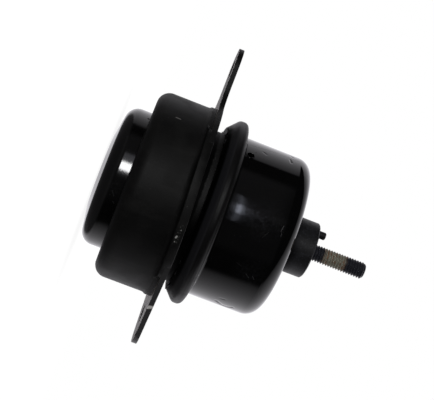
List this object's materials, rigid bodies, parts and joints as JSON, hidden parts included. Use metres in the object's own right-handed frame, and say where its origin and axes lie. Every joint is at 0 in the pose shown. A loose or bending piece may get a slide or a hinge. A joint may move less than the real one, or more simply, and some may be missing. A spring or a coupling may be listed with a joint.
{
  "type": "hydraulic engine mount",
  "caption": "Fluid-filled engine mount: drawn cup and can joined by bonded rubber, a two-eared flange plate, and a boss with stud and locating peg.",
  "frame": {"origin": "centre of the flat underside of the lower cup, on the mount's axis", "axes": "+Z along the mount's axis towards the stud, +Y along the long ear of the flange plate"},
  "size_m": [0.1182, 0.1743, 0.1587],
  "materials": {
    "cup_paint": "gloss black",
    "can_paint": "gloss black",
    "plate_coat": "worn dark phosphate",
    "jacket_rubber": "matte",
    "bumper_rubber": "satin",
    "spring_rubber": "matte",
    "bag_rubber": "matte",
    "track_alloy": "as cast",
    "plain_steel": "plain",
    "boss_coat": "matte phosphate",
    "stud_steel": "dull oiled steel with rust tints"
  },
  "bodies": {
    "root": {"lower_cup": "cup_paint", "lower_shell": "plain_steel", "rubber_jacket": "jacket_rubber", "flange_plate": "plate_coat", "bead_ring": "plain_steel", "diaphragm": "bag_rubber", "lower_track_plate": "track_alloy", "upper_track_plate": "track_alloy", "decoupler": "bag_rubber", "outer_ring": "plain_steel", "main_spring": "spring_rubber", "inner_core": "plain_steel", "upper_can": "can_paint", "rim_bumper": "bumper_rubber", "stud_boss": "boss_coat", "locating_peg": "boss_coat", "stud": "stud_steel"}
  },
  "joints": []
}
